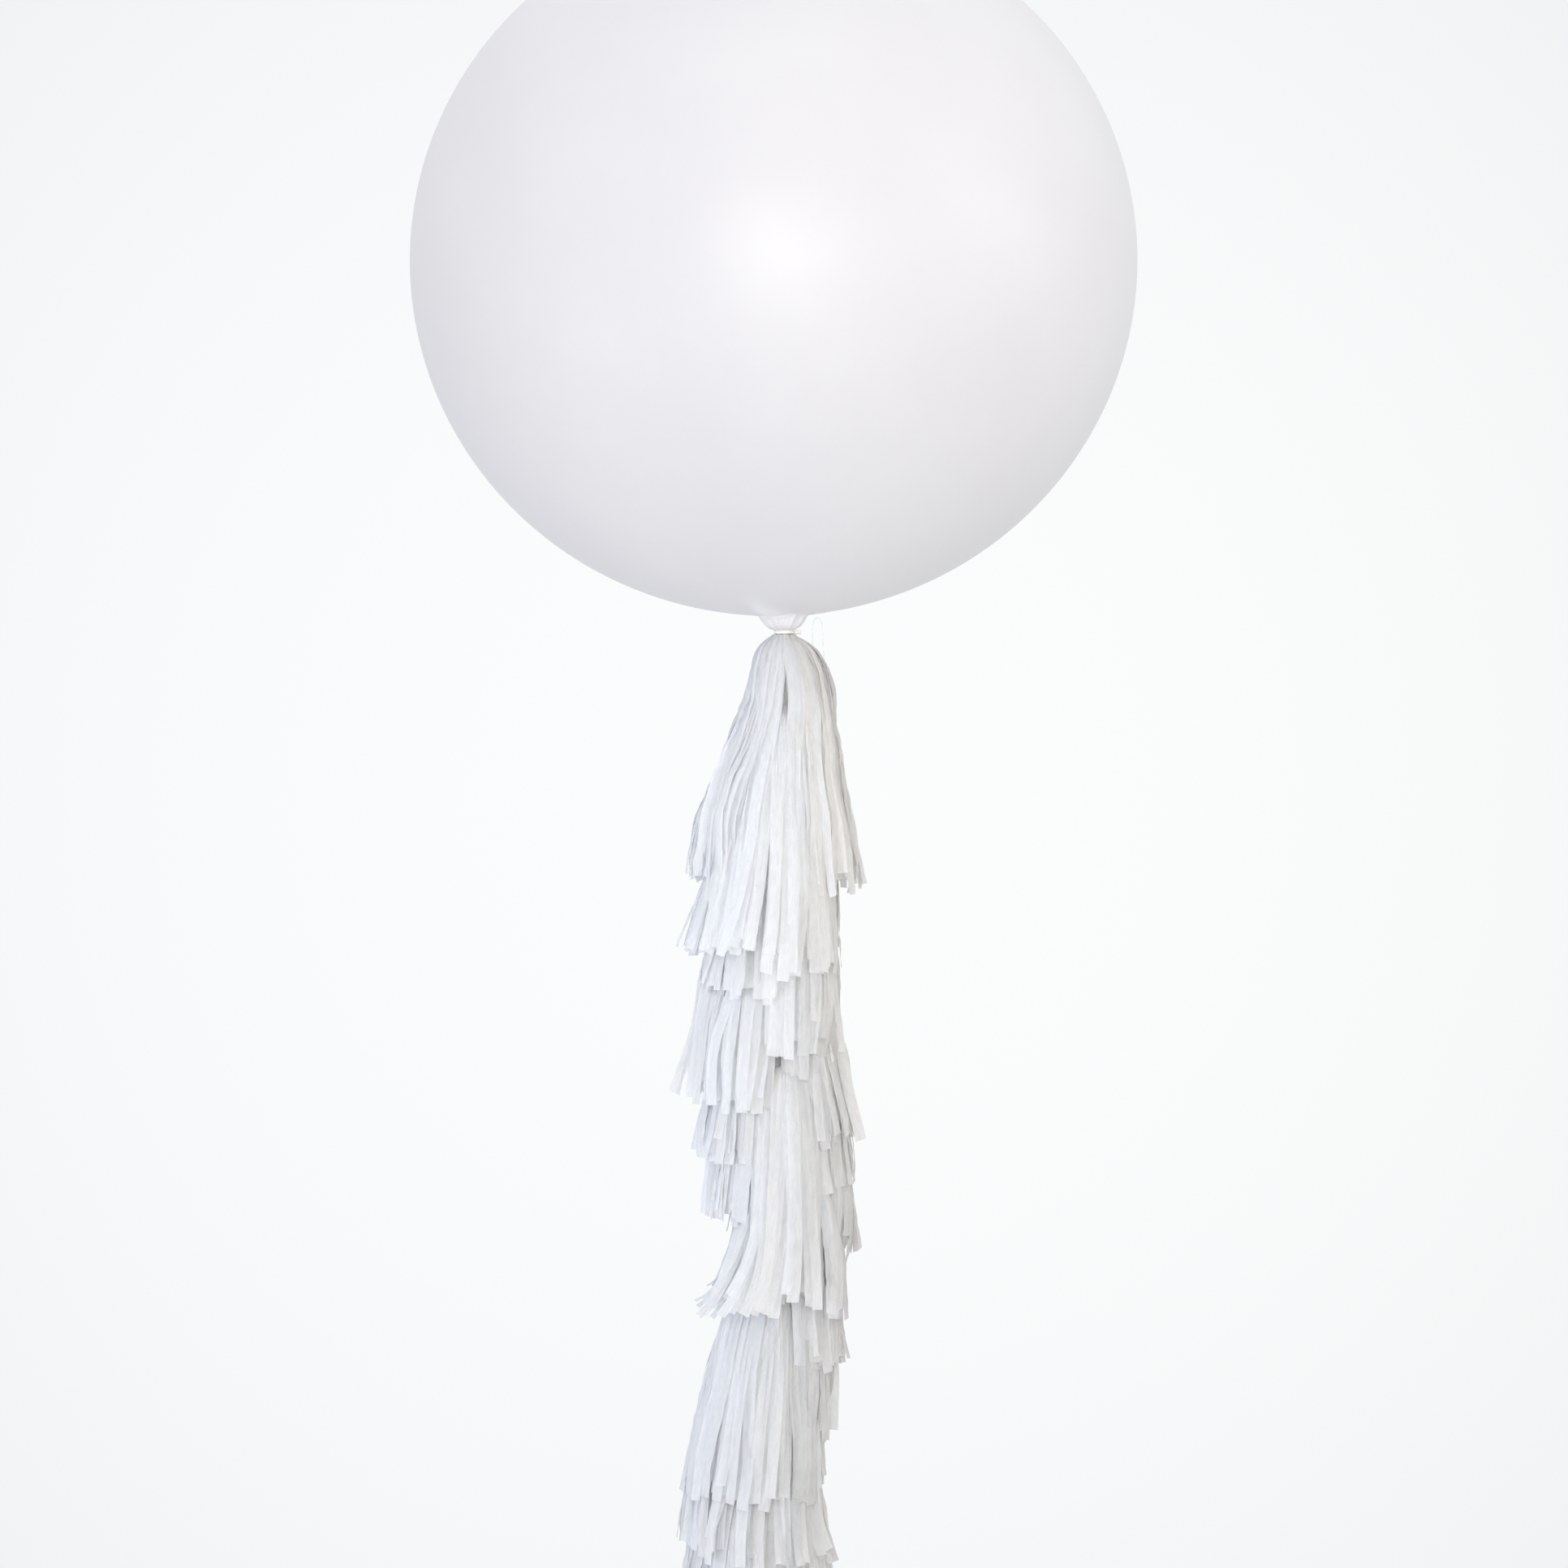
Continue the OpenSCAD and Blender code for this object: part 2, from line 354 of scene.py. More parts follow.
def clear_line_material():
    """Clear nylon, nearly lost against a bright ground."""
    material, tree, shader = new_material("clear_nylon")
    drawn = stretched_noise(tree, object_place(tree), (1, 1, 0.2), 300.0)
    rough = add_node(tree, "ShaderNodeMapRange", To_Min=0.08, To_Max=0.2)
    tree.links.new(drawn.outputs["Fac"], rough.inputs["Value"])
    tree.links.new(rough.outputs["Result"], shader.inputs["Roughness"])
    shader.inputs["Base Color"].default_value = (0.9, 0.95, 0.98, 1)
    shader.inputs["Transmission Weight"].default_value = 0.9
    shader.inputs["IOR"].default_value = 1.5
    return material


def band_material():
    """Pale woven tape with fine ribs."""
    material, tree, shader = new_material("pale_tape")
    ribs = bands(tree, "Z", 160.0, 0.6)
    colour = ramp(tree, ribs.outputs["Fac"], (0.76, 0.735, 0.69), (0.88, 0.86, 0.82), 0.2, 0.8)
    tree.links.new(colour, shader.inputs["Base Color"])
    set_bump(tree, shader, ribs.outputs["Fac"], 0.5, 0.0002)
    shader.inputs["Roughness"].default_value = 0.5
    return material


def floor_material():
    """A matt pale floor with faint clouding."""
    material, tree, shader = new_material("pale_floor")
    cloud = stretched_noise(tree, object_place(tree), (1, 1, 1), 0.6)
    pale = ramp(tree, cloud.outputs["Fac"], (0.62, 0.625, 0.63), (0.64, 0.645, 0.65), 0.3, 0.7)
    tree.links.new(pale, shader.inputs["Base Color"])
    shader.inputs["Roughness"].default_value = 0.9
    return material


LATEX = latex_material()
# The warm low colour and the cool high colour also carry painted light: warm for the painted shade on the
# right, cool for the painted light on the left
TISSUE = tissue_material("white_tissue", (0.945, 0.925, 0.895), (0.95, 0.965, 0.992), 0.52)
TWIST = tissue_material("twisted_tissue", (0.82, 0.82, 0.82), (0.9, 0.9, 0.9), 0.15)
TWINE = line_material()
NYLON = clear_line_material()
TAPE = band_material()

# ---- cords ----

ROUTE_SPACING = 1.5 * MM
# The same routes as in the part's source, in millimetres
STRAND_ROUTE = [
    (11, 0, -6), (15, 0, -6.5), (20, 0, -8), (25, 0, -11), (30, 0, -15), (34, 0, -18),
    (36, 0, -15), (36, 0, -9), (36, 0, -2), (36, 0, 5), (36.5, 0, 11), (38.5, 0, 16),
    (42, 0, 18), (45.5, 0, 16), (48, 0, 11), (48.5, 0, 4), (49, 0, -4), (49, 0, -12),
    (49.5, 0, -20), (50, 0, -28), (51, 0, -36), (52.5, 0, -44), (54, 0, -52), (55, 0, -57),
]
SLING_ROUTE = [
    (0, 11.3, -9), (0, 11.3, -16), (0, 11.3, -23), (0, 11, -29),
    (0, 10.3, -34.5), (0, 8, -39.5), (0, 5.2, -43.8), (0, 2.7, -47.2),
]


def metres(route, turn=1):
    """The route in metres. With turn=-1 it is turned half round the line."""
    return [Vector((turn * x, turn * y, z)) * MM for x, y, z in route]


def spare_strand():
    points = along(metres(STRAND_ROUTE), ROUTE_SPACING)
    piece = curve_object("clear_spare_strand", points, STRAND_R, NYLON)
    belong(piece, "spare_strand")


def sling():
    for turn, side in ((1, "back"), (-1, "front")):
        points = along(metres(SLING_ROUTE, turn), ROUTE_SPACING)
        piece = curve_object(f"sling_leg_{side}", points, LINE_R, TWINE)
        belong(piece, "line_sling")


def overhand_knot(centre):
    """Points of a small trefoil knot of the line about a centre, pulled tight."""
    reach, depth = KNOT_R - LINE_R, 1.6
    steps = 60
    out = []
    for k in range(steps):
        t = TAU * k / steps
        ring = 2 + math.cos(3 * t)
        point = Vector((ring * math.cos(2 * t), math.sin(3 * t) * depth, ring * math.sin(2 * t)))
        out.append(centre + point * reach / 3)
    return out


def knot_piece(name, centres):
    """Small tight knots as one curve piece, one closed spline each."""
    piece = curve_object(name, overhand_knot(centres[0]), LINE_R, TWINE, closed=True)
    for centre in centres[1:]:
        add_spline(piece.data, overhand_knot(centre), closed=True)
    return piece


def first_tassel_of(run):
    """The first tassel on a run. Tassel 1 is tied round the sling, above the runs."""
    return min(i for i in range(2, TASSELS + 1) if BODY_OF[tassel_node(i, "head")] == f"tail_{run}")


def knots_of(run):
    """The knots on one run of the line: one in each head that it carries, and the bend at its lower end."""
    first = first_tassel_of(run) + (1 if run > 1 else 0)
    last = first_tassel_of(run + 1) if run < LINE_RUNS else TASSELS
    return [middle(tassel_node(i, "head")) for i in range(first, last + 1)]


def loop_radius(node):
    """From a loop's axis to the middle of its line."""
    low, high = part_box(node)
    return (high[0] - low[0]) / 2 - LINE_R


def end_loop():
    """The loop under the last tassel: an upright ring of the line."""
    centre, radius = middle("tail_end_loop"), loop_radius("tail_end_loop")
    steps = 48
    ring = []
    for k in range(steps):
        a = TAU * k / steps
        ring.append(centre + radius * Vector((math.cos(a), 0, math.sin(a))))
    loop = curve_object("twine_end_loop", ring, LOOP_LINE_R, TWINE, closed=True)
    return belong(loop, "tail_end_loop")


def tail_line(run):
    node = f"tail_line_{run}"
    low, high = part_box(node)
    top, bottom = high[2], low[2]
    steps = 20
    points = [Vector((0, 0, top + (bottom - top) * k / steps)) for k in range(steps + 1)]
    piece = belong(curve_object(f"twine_run_{run}", points, LINE_R, TWINE), node)
    knots = knot_piece(f"twine_knots_{run}", knots_of(run))
    belong(knots, f"line_knots_{run}")
    ends = [end_loop()] if run == LINE_RUNS else []


def neck_loop():
    """The line's turns round the throat, one below the other."""
    low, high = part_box("neck_loop")
    radius = loop_radius("neck_loop")
    turns, steps = 2, 96
    top, fall = high[2] - LINE_R, high[2] - low[2] - 2 * LINE_R
    points = []
    for k in range(steps + 1):
        a = TAU * turns * k / steps
        points.append(Vector((radius * math.cos(a), radius * math.sin(a), top - fall * k / steps)))
    belong(curve_object("twine_neck_turns", points, LOOP_LINE_R, TWINE), "neck_loop")


spare_strand()
sling()
neck_loop()
for run_number in range(1, LINE_RUNS + 1):
    tail_line(run_number)
belong(knot_piece("twine_sling_knot", [middle("sling_knot")]), "sling_knot")

# ---- balloon ----

AROUND = 288
NECK_ROWS = 22
GLOBE_ROWS = 150
# How gathered the skin is where the neck meets the globe (it is 1 at the throat), and how soon that fades
RIM_GATHER = 0.35
RIM_FADE = 16 * MM
# The throat, from its foot under the tie upwards: (radius, height)
THROAT_FOOT = [
    (THROAT_FOOT_R, -8.7 * MM), (THROAT_FOOT_R * 1.02, -5 * MM), (THROAT_FOOT_R * 1.1, -3.2 * MM),
    (THROAT_R * 0.93, -2.4 * MM), (THROAT_R, 0.0), (THROAT_R, 1.6 * MM),
]
# Folds of the skin from the neck out under the globe. The first is the flap over the front of the neck
Fold = namedtuple("Fold", "azimuth_degrees width_mm reach_mm height_mm")
FOLDS = [
    Fold(-108, 13, 125, 8.0), Fold(-62, 11, 62, 1.2), Fold(-158, 9, 55, 1.0), Fold(-20, 10, 70, 1.1),
    Fold(35, 12, 60, 1.2), Fold(82, 9, 75, 1.0), Fold(128, 12, 58, 1.2),
]
FOLDS_END_R = 0.17
FOLDS_END_Z = 0.06
# How milky the skin looks where it is thicker: gathered at the neck, in a small patch at the crown, in the
# knot and mouth, and for each metre that a fold stands out
MILK_GATHERED = 0.15
MILK_CROWN = 0.3
MILK_KNOT = 0.3
MILK_FOLD = 320
CROWN_PATCH_R = 0.03


def globe_profile():
    """(radius, height, gather) from the throat's foot to the crown. gather falls from 1 to 0 on the way."""
    rows = [(r, z, 1.0) for r, z in THROAT_FOOT]
    for k in range(NECK_ROWS + 1):
        up = k / NECK_ROWS
        down = 1 - up
        r = THROAT_R + (NECK_R - THROAT_R) * (1 - 0.68 * down - 0.32 * down**6)
        z = THROAT_TOP_Z + (NECK_H - THROAT_TOP_Z) * up
        rows.append((r, z, RIM_GATHER + (1 - RIM_GATHER) * down**0.7))
    start = math.acos(NECK_R / GLOBE_RX)
    for k in range(1, GLOBE_ROWS + 1):
        share = (k / GLOBE_ROWS) ** 1.5  # rows are closer together near the neck
        a = -start + (math.pi / 2 + start) * share
        r = GLOBE_RX * math.cos(a)
        gather = RIM_GATHER * math.exp(-(r - NECK_R) / RIM_FADE) if a < 0 else 0.0
        rows.append((r, GLOBE_Z + GLOBE_RZ * math.sin(a), gather))
    rows[-1] = (0.0, GLOBE_Z + GLOBE_RZ, 0.0)
    return rows


def angle_between(a, b):
    return (a - b + math.pi) % TAU - math.pi


def neck_pleats(a, gather, z):
    """Share of the radius that the pleats add: deep at the throat, gone on the globe, swirled a little."""
    swirl = a + 0.5 * gather + 14 * z
    deep = 0.075 * math.cos(9 * swirl)
    deep += 0.045 * math.cos(14 * swirl + 1.3)
    deep += 0.03 * math.cos(23 * swirl + 0.4)
    return deep * gather**2.2


def fold_height(a, r, z):
    """How far the folds under the globe stand out, in metres."""
    if r < NECK_R * 0.9 or r > FOLDS_END_R or z >= FOLDS_END_Z:
        return 0.0
    out = 0.0
    for fold in FOLDS:
        side = angle_between(a, math.radians(fold.azimuth_degrees)) * r / (fold.width_mm * MM)
        far = (r - NECK_R) / (fold.reach_mm * MM)
        if far < 1:
            rise = min(1.0, max(0.0, 0.3 + far * 4))
            out += fold.height_mm * MM * math.exp(-side * side) * (1 - far) ** 1.5 * rise
    return out


def milkiness(r, z, gather, fold):
    """How milky the skin is, from 0 where it is stretched thin up to 1."""
    crown = math.exp(-((r / CROWN_PATCH_R) ** 2)) * MILK_CROWN if z > GLOBE_Z else 0.0
    return min(1.0, max(MILK_GATHERED * gather, crown, fold * MILK_FOLD))


def leaning(point):
    """A point of the upright globe, turned about the neck to where the real one leans."""
    x, y, z = point
    cosine, sine = math.cos(-LEAN), math.sin(-LEAN)
    return Vector((x * cosine + z * sine, y, -x * sine + z * cosine))


def globe():
    rows = globe_profile()
    points, thick = [], []
    for r, z, gather in rows[:-1]:
        for k in range(AROUND):
            a = TAU * k / AROUND
            fold = fold_height(a, r, z)
            rr = r * (1 + neck_pleats(a, gather, z))
            points.append(Vector((rr * math.cos(a), rr * math.sin(a), z - fold)))
            thick.append(milkiness(r, z, gather, fold))
    points.append(Vector((0, 0, rows[-1][1])))
    thick.append(MILK_CROWN)
    faces = grid_faces(len(rows) - 1, AROUND, closed=True)
    top, ring = len(points) - 1, (len(rows) - 2) * AROUND
    faces += [(ring + k, ring + (k + 1) % AROUND, top) for k in range(AROUND)]
    piece = mesh_object("globe_and_neck", [leaning(p) for p in points], faces, LATEX)
    set_layer(piece, "thick", thick)
    belong(piece, "balloon_envelope")


def lathe(name, outline, ripple, material, steps=96):
    """A piece of revolution. ripple(angle, row share) is the share that the radius changes by."""
    rows = len(outline)
    points = []
    for n, (r, z) in enumerate(outline):
        for k in range(steps):
            a = TAU * k / steps
            rr = r * (1 + ripple(a, n / (rows - 1)))
            points.append((rr * math.cos(a), rr * math.sin(a), z))
    return mesh_object(name, points, grid_faces(rows, steps, closed=True), material)


def neck_knot():
    """The knot: latex rolled over itself, with a lip that runs slantwise round it."""
    low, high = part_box("neck_knot")
    radius, height = high[0], high[2] - low[2]
    rows = 26
    outline = []
    for n in range(rows):
        t = n / (rows - 1)
        bulge = math.sin(math.pi * t) ** 0.45
        tucked = 0.9 if n in (0, rows - 1) else 1
        outline.append((radius * (0.5 + 0.44 * bulge) * tucked, low[2] + height * t))

    def ripple(a, t):
        roll = 0.06 * math.cos(TAU * 1.5 * t + a) * math.sin(math.pi * t)
        return roll + 0.02 * math.cos(11 * a + 9 * t) + 0.012 * math.cos(19 * a - 5 * t)

    piece = lathe("rolled_neck_knot", outline, ripple, LATEX)
    set_layer(piece, "thick", [MILK_KNOT] * len(piece.data.vertices))
    belong(piece, "neck_knot")


def mouth_ring(t, steps, grow=0.0):
    """Points round the flattened end of the neck. t is 0 at the knot and 1 at the rim."""
    low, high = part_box("mouth_tube")
    half_w, half_t = high[0], high[1]
    flat = t**0.6
    wide = half_w * flat + 0.6 * half_w * (1 - flat)
    deep = half_t * 0.8 + 0.3 * half_t * (1 - flat)
    out = []
    for k in range(steps):
        a = TAU * k / steps
        x = wide * math.cos(a) + grow * math.cos(a)
        y = deep * math.sin(a) + grow * math.sin(a)
        wavy = 0.5 * MM * math.sin(9 * x / half_w + 2 * t) * t
        out.append((x, y + wavy, high[2] + (low[2] - high[2]) * t))
    return out


def mouth():
    """The flattened end of the neck with its rolled rim, a little wavy."""
    wall, rim_r, rim_out = 0.5 * MM, 1.0 * MM, 0.2 * MM
    steps, rows = 72, 20
    points = [p for n in range(rows) for p in mouth_ring(n / (rows - 1), steps)]
    piece = mesh_object("flattened_mouth", points, grid_faces(rows, steps, closed=True), LATEX)
    solid = piece.modifiers.new("wall", "SOLIDIFY")
    solid.thickness = wall
    set_layer(piece, "thick", [MILK_KNOT] * len(points))
    belong(piece, "mouth_tube")
    height = middle("lip_bead").z
    rim = [Vector((x, y, height)) for x, y, _ in mouth_ring(1.0, steps, rim_out)]
    belong(curve_object("rolled_lip", rim, rim_r, LATEX, closed=True), "lip_bead")


def tape(name, centreline, half_height, thickness):
    """A narrow tape that stands on edge along a line."""
    rows = 5
    points = []
    for centre in centreline:
        for n in range(rows):
            t = 2 * n / (rows - 1) - 1
            points.append(Vector(centre) + Vector((0, 0, t * half_height)))
    piece = mesh_object(name, points, grid_faces(len(centreline), rows, closed=False), TAPE)
    solid = piece.modifiers.new("thickness", "SOLIDIFY")
    solid.thickness = thickness
    solid.offset = 0
    return piece


def tape_turns():
    """The tape's turns round the neck, each a little further out than the last."""
    low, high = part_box("tie_band")
    outer, half = high[0], (high[2] - low[2]) / 2
    turns, steps = 2, 120
    line = []
    for k in range(steps + 1):
        a = TAU * turns * k / steps
        r = outer - 0.9 * MM + 0.5 * MM * k / steps
        line.append((r * math.cos(a), r * math.sin(a), 0.2 * MM * math.sin(a * 0.5)))
    belong(tape("tape_turns", line, half * 0.92, 0.4 * MM), "tie_band")


def tape_cut_end():
    """The tape's cut end, standing out to the right with a slight curl."""
    low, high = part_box("tie_tab")
    half, z = (high[2] - low[2]) / 2, (low[2] + high[2]) / 2 + 0.4 * MM
    steps = 14
    line = []
    for k in range(steps + 1):
        t = k / steps
        x = low[0] - 0.6 * MM + (high[0] - low[0] + 0.4 * MM) * t
        line.append((x, -1.0 * MM * math.sin(2.6 * t), z))
    belong(tape("tape_cut_end", line, half * 0.84, 0.5 * MM), "tie_tab")


globe()
neck_knot()
mouth()
tape_turns()
tape_cut_end()

# ---- tassels ----

FRINGE_LENGTH = 0.333
FIRST_FRINGE_TOP = -4.5 * MM
STRIP_WIDTH = 14.2 * MM
# A strip's reach grows as this power of the place along it, and turns outwards or inwards beyond its waist
FRINGE_POWER = 0.565
WAIST = 0.220
# Rings of points along a strip, a little closer together near the head
RINGS = 38
RING_POWER = 1.12
# The most that a strip may spread in a step, as a share of the step, so that it always falls
MOST_FLAT = 0.985
# Places of the points across a strip, from edge to edge
COLUMNS = np.array([-1, -0.36, 0.36, 1])
# For each layer of paper, from the outermost to the innermost: its strips on each side of a tassel, and how
# far it reaches, as a share of the outermost
STRIPS_IN_LAYER = (29, 22, 16, 13)
LAYER_REACH = (1.0, 0.94, 0.85, 0.66)
RIGHT, LEFT = 0, 1

# How each side of a tassel hangs, in millimetres and degrees: its reach from the line at the waist and at
# the hem, how far its hem hangs below the others' (a raised hem is negative), how far its strips stay off
# the front parting, and how much more they draw away from it towards the hem
Side = namedtuple("Side", "waist hem drop gap opening")
LEFT_SIDES = {
    1: Side(100, 113, -6, 17, 3), 2: Side(94, 124, 12, 0, 4), 3: Side(88, 108, -22, 0, 0),
    4: Side(97, 115, 40, 4, 6), 5: Side(86, 104, 30, 12, 8), 6: Side(84, 97, 28, 13, 8),
    7: Side(58, 60, -30, 13, 8), 8: Side(60, 108, -33, 0, 6), 9: Side(56, 62, -12, 6, 10),
    10: Side(64, 74, -8, 10, 10), 11: Side(104, 124, 5, 0, 0), 12: Side(112, 128, 0, 4, 8),
    13: Side(110, 122, -8, 0, 0), 14: Side(100, 112, 10, 0, 4), 15: Side(90, 104, -6, 0, 0),
    16: Side(82, 98, 0, 0, 0),
}
RIGHT_SIDES = {
    1: Side(78, 95, 4, 13, -8), 2: Side(60, 66, 27, 0, 0), 3: Side(61, 67, 46, 0, 0),
    4: Side(57, 64, -4, 8, 8), 5: Side(70, 88, 9, 12, 10), 6: Side(76, 82, -4, 13, 10),
    7: Side(80, 84, -3, 13, 10), 8: Side(66, 70, 0, 0, 6), 9: Side(66, 70, -13, 6, 10),
    10: Side(58, 50, -2, 8, 6), 11: Side(44, 43, -7, 0, 0), 12: Side(38, 57, 0, 4, 4),
    13: Side(48, 68, 6, 0, 0), 14: Side(60, 78, -8, 0, 0), 15: Side(70, 88, 4, 0, 0),
    16: Side(78, 96, 0, 0, 0),
}
# The topmost tassel is gathered over the tie, so its shoulders are rounder. These are (place along the
# strip, reach) in millimetres
LEFT_SHOULDER = [
    (0, 12), (6, 17), (14, 24), (22, 30), (34, 36), (56, 41), (92, 47), (140, 66), (193, 90),
    (252, 109), (312, 114), (345, 113),
]
RIGHT_SHOULDER = [
    (0, 12), (6, 17), (14, 24.5), (24, 33), (36, 42), (60, 54), (95, 62), (140, 66), (200, 75),
    (252, 86), (312, 94), (345, 96),
]

# How much further forward the strips hang than their sides reach, as a share (negative where they part
# round the tassels below). It is full from FRONT_REACH_FROM along them
FRONT_REACH = {
    1: -0.28, 2: 0.12, 4: -0.22, 5: -0.34, 6: -0.34, 7: -0.30, 8: 0.38, 9: -0.1, 10: -0.1, 11: 0.1,
}
FRONT_REACH_FROM = 0.035
# How far the front of a tassel stands out below its head, in millimetres, where it fills the parting above
# it. It stands out most at FRONT_FILL_AT along the strips
FRONT_FILL = {8: 22}
FRONT_FILL_AT = 0.05
# How much more unevenly than the others a side's strips hang: (tassel, side) to a factor
RAGGED = {(8, LEFT): 2.5, (9, LEFT): 2.0}
# How far the front of a side's hem hangs below its outer edge, in millimetres: (tassel, side) to a length
FRONT_DROP = {(8, LEFT): 52}
# Single strips that stand off, turned on edge. reach_mm is how much further out, and drop_mm how much lower
Stray = namedtuple("Stray", "tassel half azimuth_degrees reach_mm drop_mm")
STRAYS = [
    Stray(4, LEFT, 178, 14, -4), Stray(5, RIGHT, -20, 6, 12),
    Stray(9, RIGHT, -75, 5, -18), Stray(12, RIGHT, -30, 12, -10),
]
STRAY_TURN = 1.3
# Each layer is cut shorter than the one outside it, and starts closer to the line and lower, in millimetres
CUT_SHORTER = 10
START_R = 8.0
START_CLOSER = 1.2
START_RISE = 3
START_LOWER = 1.5

# Places along a strip, in metres from its head: where the front parting is open, where the swells are full,
# where the pleats fade, where the strip is at its full width, and where the layers have drawn apart
PARTED_AT = 0.08
SWOLLEN_AT = 0.12
PLEATS_FADE = 0.045
FLAT_AT = 0.085
LAYERS_APART = 0.02

# How uneven the strips are. Shares of them that slipped in the gather, are bent at the end, or are turned
SLIPPED = 0.2
KICKED = 0.25
TURNED = 0.10
# Least and most, in millimetres. SPACING is a share of the space between two strips
SLIP = (-30, 14)
KICK = (3, 9)
USUAL_KICK = (-3, 2)
SPACING = (-0.12, 0.12)
# Standard deviations, in radians
DRIFT = 0.058
SWAY = 0.038
LAP_SPREAD = 0.06
TURN_OF_ODD = 1.5
TURN_SPREAD = 0.16
# Standard deviations, as a share of the reach or of the width
REACH_SPREAD = 0.018
WIDTH_SPREAD = 0.06
CURL = 0.11
END_SLANT = 0.05
# Standard deviations, in millimetres
CUT_SPREAD = 3
WAVINESS = 1.8
CRUMPLE = 0.55
# Heights of the slow waves round a tassel: of the clumps and the crowding in radians, of the hem as a share
# and of the swells in millimetres. STEP is how far every other strip stands out, in millimetres
CLUMPS = 0.035
CROWDING = 0.03
HEM_WAVE = 0.018
SWELLS = 1.5
STEP = 0.6
# How far each strip laps over the next, and how far it is turned in the head's pleats, in radians
LAP = 0.09
PLEAT = 0.5
# The strips' tone, from 0, warm, to 1, cool, its spread, and the painted side light: how much cooler the
# strips are painted towards the lit left, and so warmer towards the shaded right
TONE = 0.55
TONE_SPREAD = 0.13
PAINTED_SIDE_LIGHT = 0.3

# The strips on one side of a layer. x, y, z, phi (the angle round the line) and s (the length from the
# head) are arrays of shape (strips, RINGS). share has a value for each ring, azimuth and turn one for each
# strip
Strips = namedtuple("Strips", "x y z s share phi azimuth turn")


def side_reach(side, shoulder, start, s):
    """Reach from the line of one side's strips, in metres, at the lengths s along them."""
    if shoulder:
        along_strip, reach = np.array(shoulder, dtype=float).T * MM
        return np.interp(s, along_strip, reach)
    base = start + (side.waist * MM - start) * (s / WAIST) ** FRINGE_POWER
    at_hem = start + (side.waist * MM - start) * (FRINGE_LENGTH / WAIST) ** FRINGE_POWER
    flare = np.clip((s - WAIST) / (FRINGE_LENGTH - WAIST), 0, None) ** 2
    return base + (side.hem * MM - at_hem) * flare


def per_strip(values):
    """One value for each strip, shaped to go with arrays of shape (strips, RINGS)."""
    return values[:, None]


def wave(rng, share, slowest, fastest, count):
    """A slow wave along each of the strips, of its own length and place."""
    speed = per_strip(rng.uniform(slowest, fastest, count))
    return np.sin(share * speed + per_strip(rng.uniform(0, TAU, count)))


def forward(angle):
    """1 straight in front, falling to 0 at the sides and behind."""
    return np.clip(-np.sin(angle), 0, 1)


def places_round(rng, layer, half):
    """(order, azimuth) of the strips of one side of a layer. order runs from -1 to 1."""
    count = STRIPS_IN_LAYER[layer]
    order = (np.arange(count) + rng.uniform(*SPACING, count)) / (count - 1) * 2 - 1
    azimuth = math.pi * half + math.pi / 2 * order + CROWDING * np.sin(5 * order + rng.uniform(0, TAU))
    return order, azimuth


def cut_lengths(rng, i, layer, half, order, azimuth):
    """How long each strip is. Some have slipped up or down in the gather."""
    count = len(order)
    side = (RIGHT_SIDES, LEFT_SIDES)[half][i]
    level = 1 + side.drop * MM / FRINGE_LENGTH + HEM_WAVE * np.sin(2.5 * order + rng.uniform(0, TAU))
    level = level + FRONT_DROP.get((i, half), 0) * MM / FRINGE_LENGTH * forward(azimuth)
    odd = rng.random(count) < SLIPPED
    slipped = np.where(odd, rng.uniform(*SLIP, count), rng.normal(0, CUT_SPREAD, count)) * MM
    return FRINGE_LENGTH * level - CUT_SHORTER * MM * layer + slipped * RAGGED.get((i, half), 1)


def kicks(rng, count):
    """How far out each strip's end is bent."""
    odd = rng.random(count) < KICKED
    return np.where(odd, rng.uniform(*KICK, count), rng.uniform(*USUAL_KICK, count)) * MM


def strays(i, layer, half, azimuth):
    """(lower, further out, turn) for each strip, all 0 except for the single strips that stand off."""
    lower, further, turn = np.zeros((3, len(azimuth)))
    for stray in STRAYS:
        if (stray.tassel, stray.half, 0) == (i, half, layer):
            nearest = np.argmin(np.abs(azimuth - math.radians(stray.azimuth_degrees)))
            lower[nearest] = stray.drop_mm * MM
            further[nearest] = stray.reach_mm * MM
            turn[nearest] = STRAY_TURN
    return lower, further, turn


def bearings(rng, i, half, order, azimuth, s, share):
    """The angle round the line of every point: the strips part in front, drift, sway and clump."""
    count = len(order)
    side = (RIGHT_SIDES, LEFT_SIDES)[half][i]
    towards_front, sign = (-order, 1) if half == RIGHT else (order, -1)
    away = math.radians(side.opening) * (0.5 + 0.5 * towards_front) ** 2 * sign
    drift = per_strip(rng.normal(0, DRIFT, count)) * share**1.4
    sway = per_strip(rng.normal(0, SWAY, count)) * wave(rng, share, 3, 7, count) * share
    parting = math.radians(side.gap) * per_strip(order) * np.minimum(1, s / PARTED_AT)
    clumps = CLUMPS * per_strip(np.sin(order * rng.uniform(16, 24) + rng.uniform(0, TAU))) * share**1.5
    return per_strip(azimuth) - parting + per_strip(away) * share + drift + sway + clumps


def even_skirt(i, layer, phi, s):
    """The tassel's even shape: the reach from its middle, and how far that is to the right of the line."""
    start = (START_R - START_CLOSER * layer) * MM
    left = side_reach(LEFT_SIDES[i], LEFT_SHOULDER if i == 1 else None, start, s)
    right = side_reach(RIGHT_SIDES[i], RIGHT_SHOULDER if i == 1 else None, start, s)
    inward = LAYER_REACH[layer] + (1 - LAYER_REACH[layer]) * np.exp(-s / LAYERS_APART)
    mean, lean = (left + right) / 2, (right - left) / 2
    return (mean + 0.5 * lean * np.cos(phi)) * inward, 0.5 * lean * inward


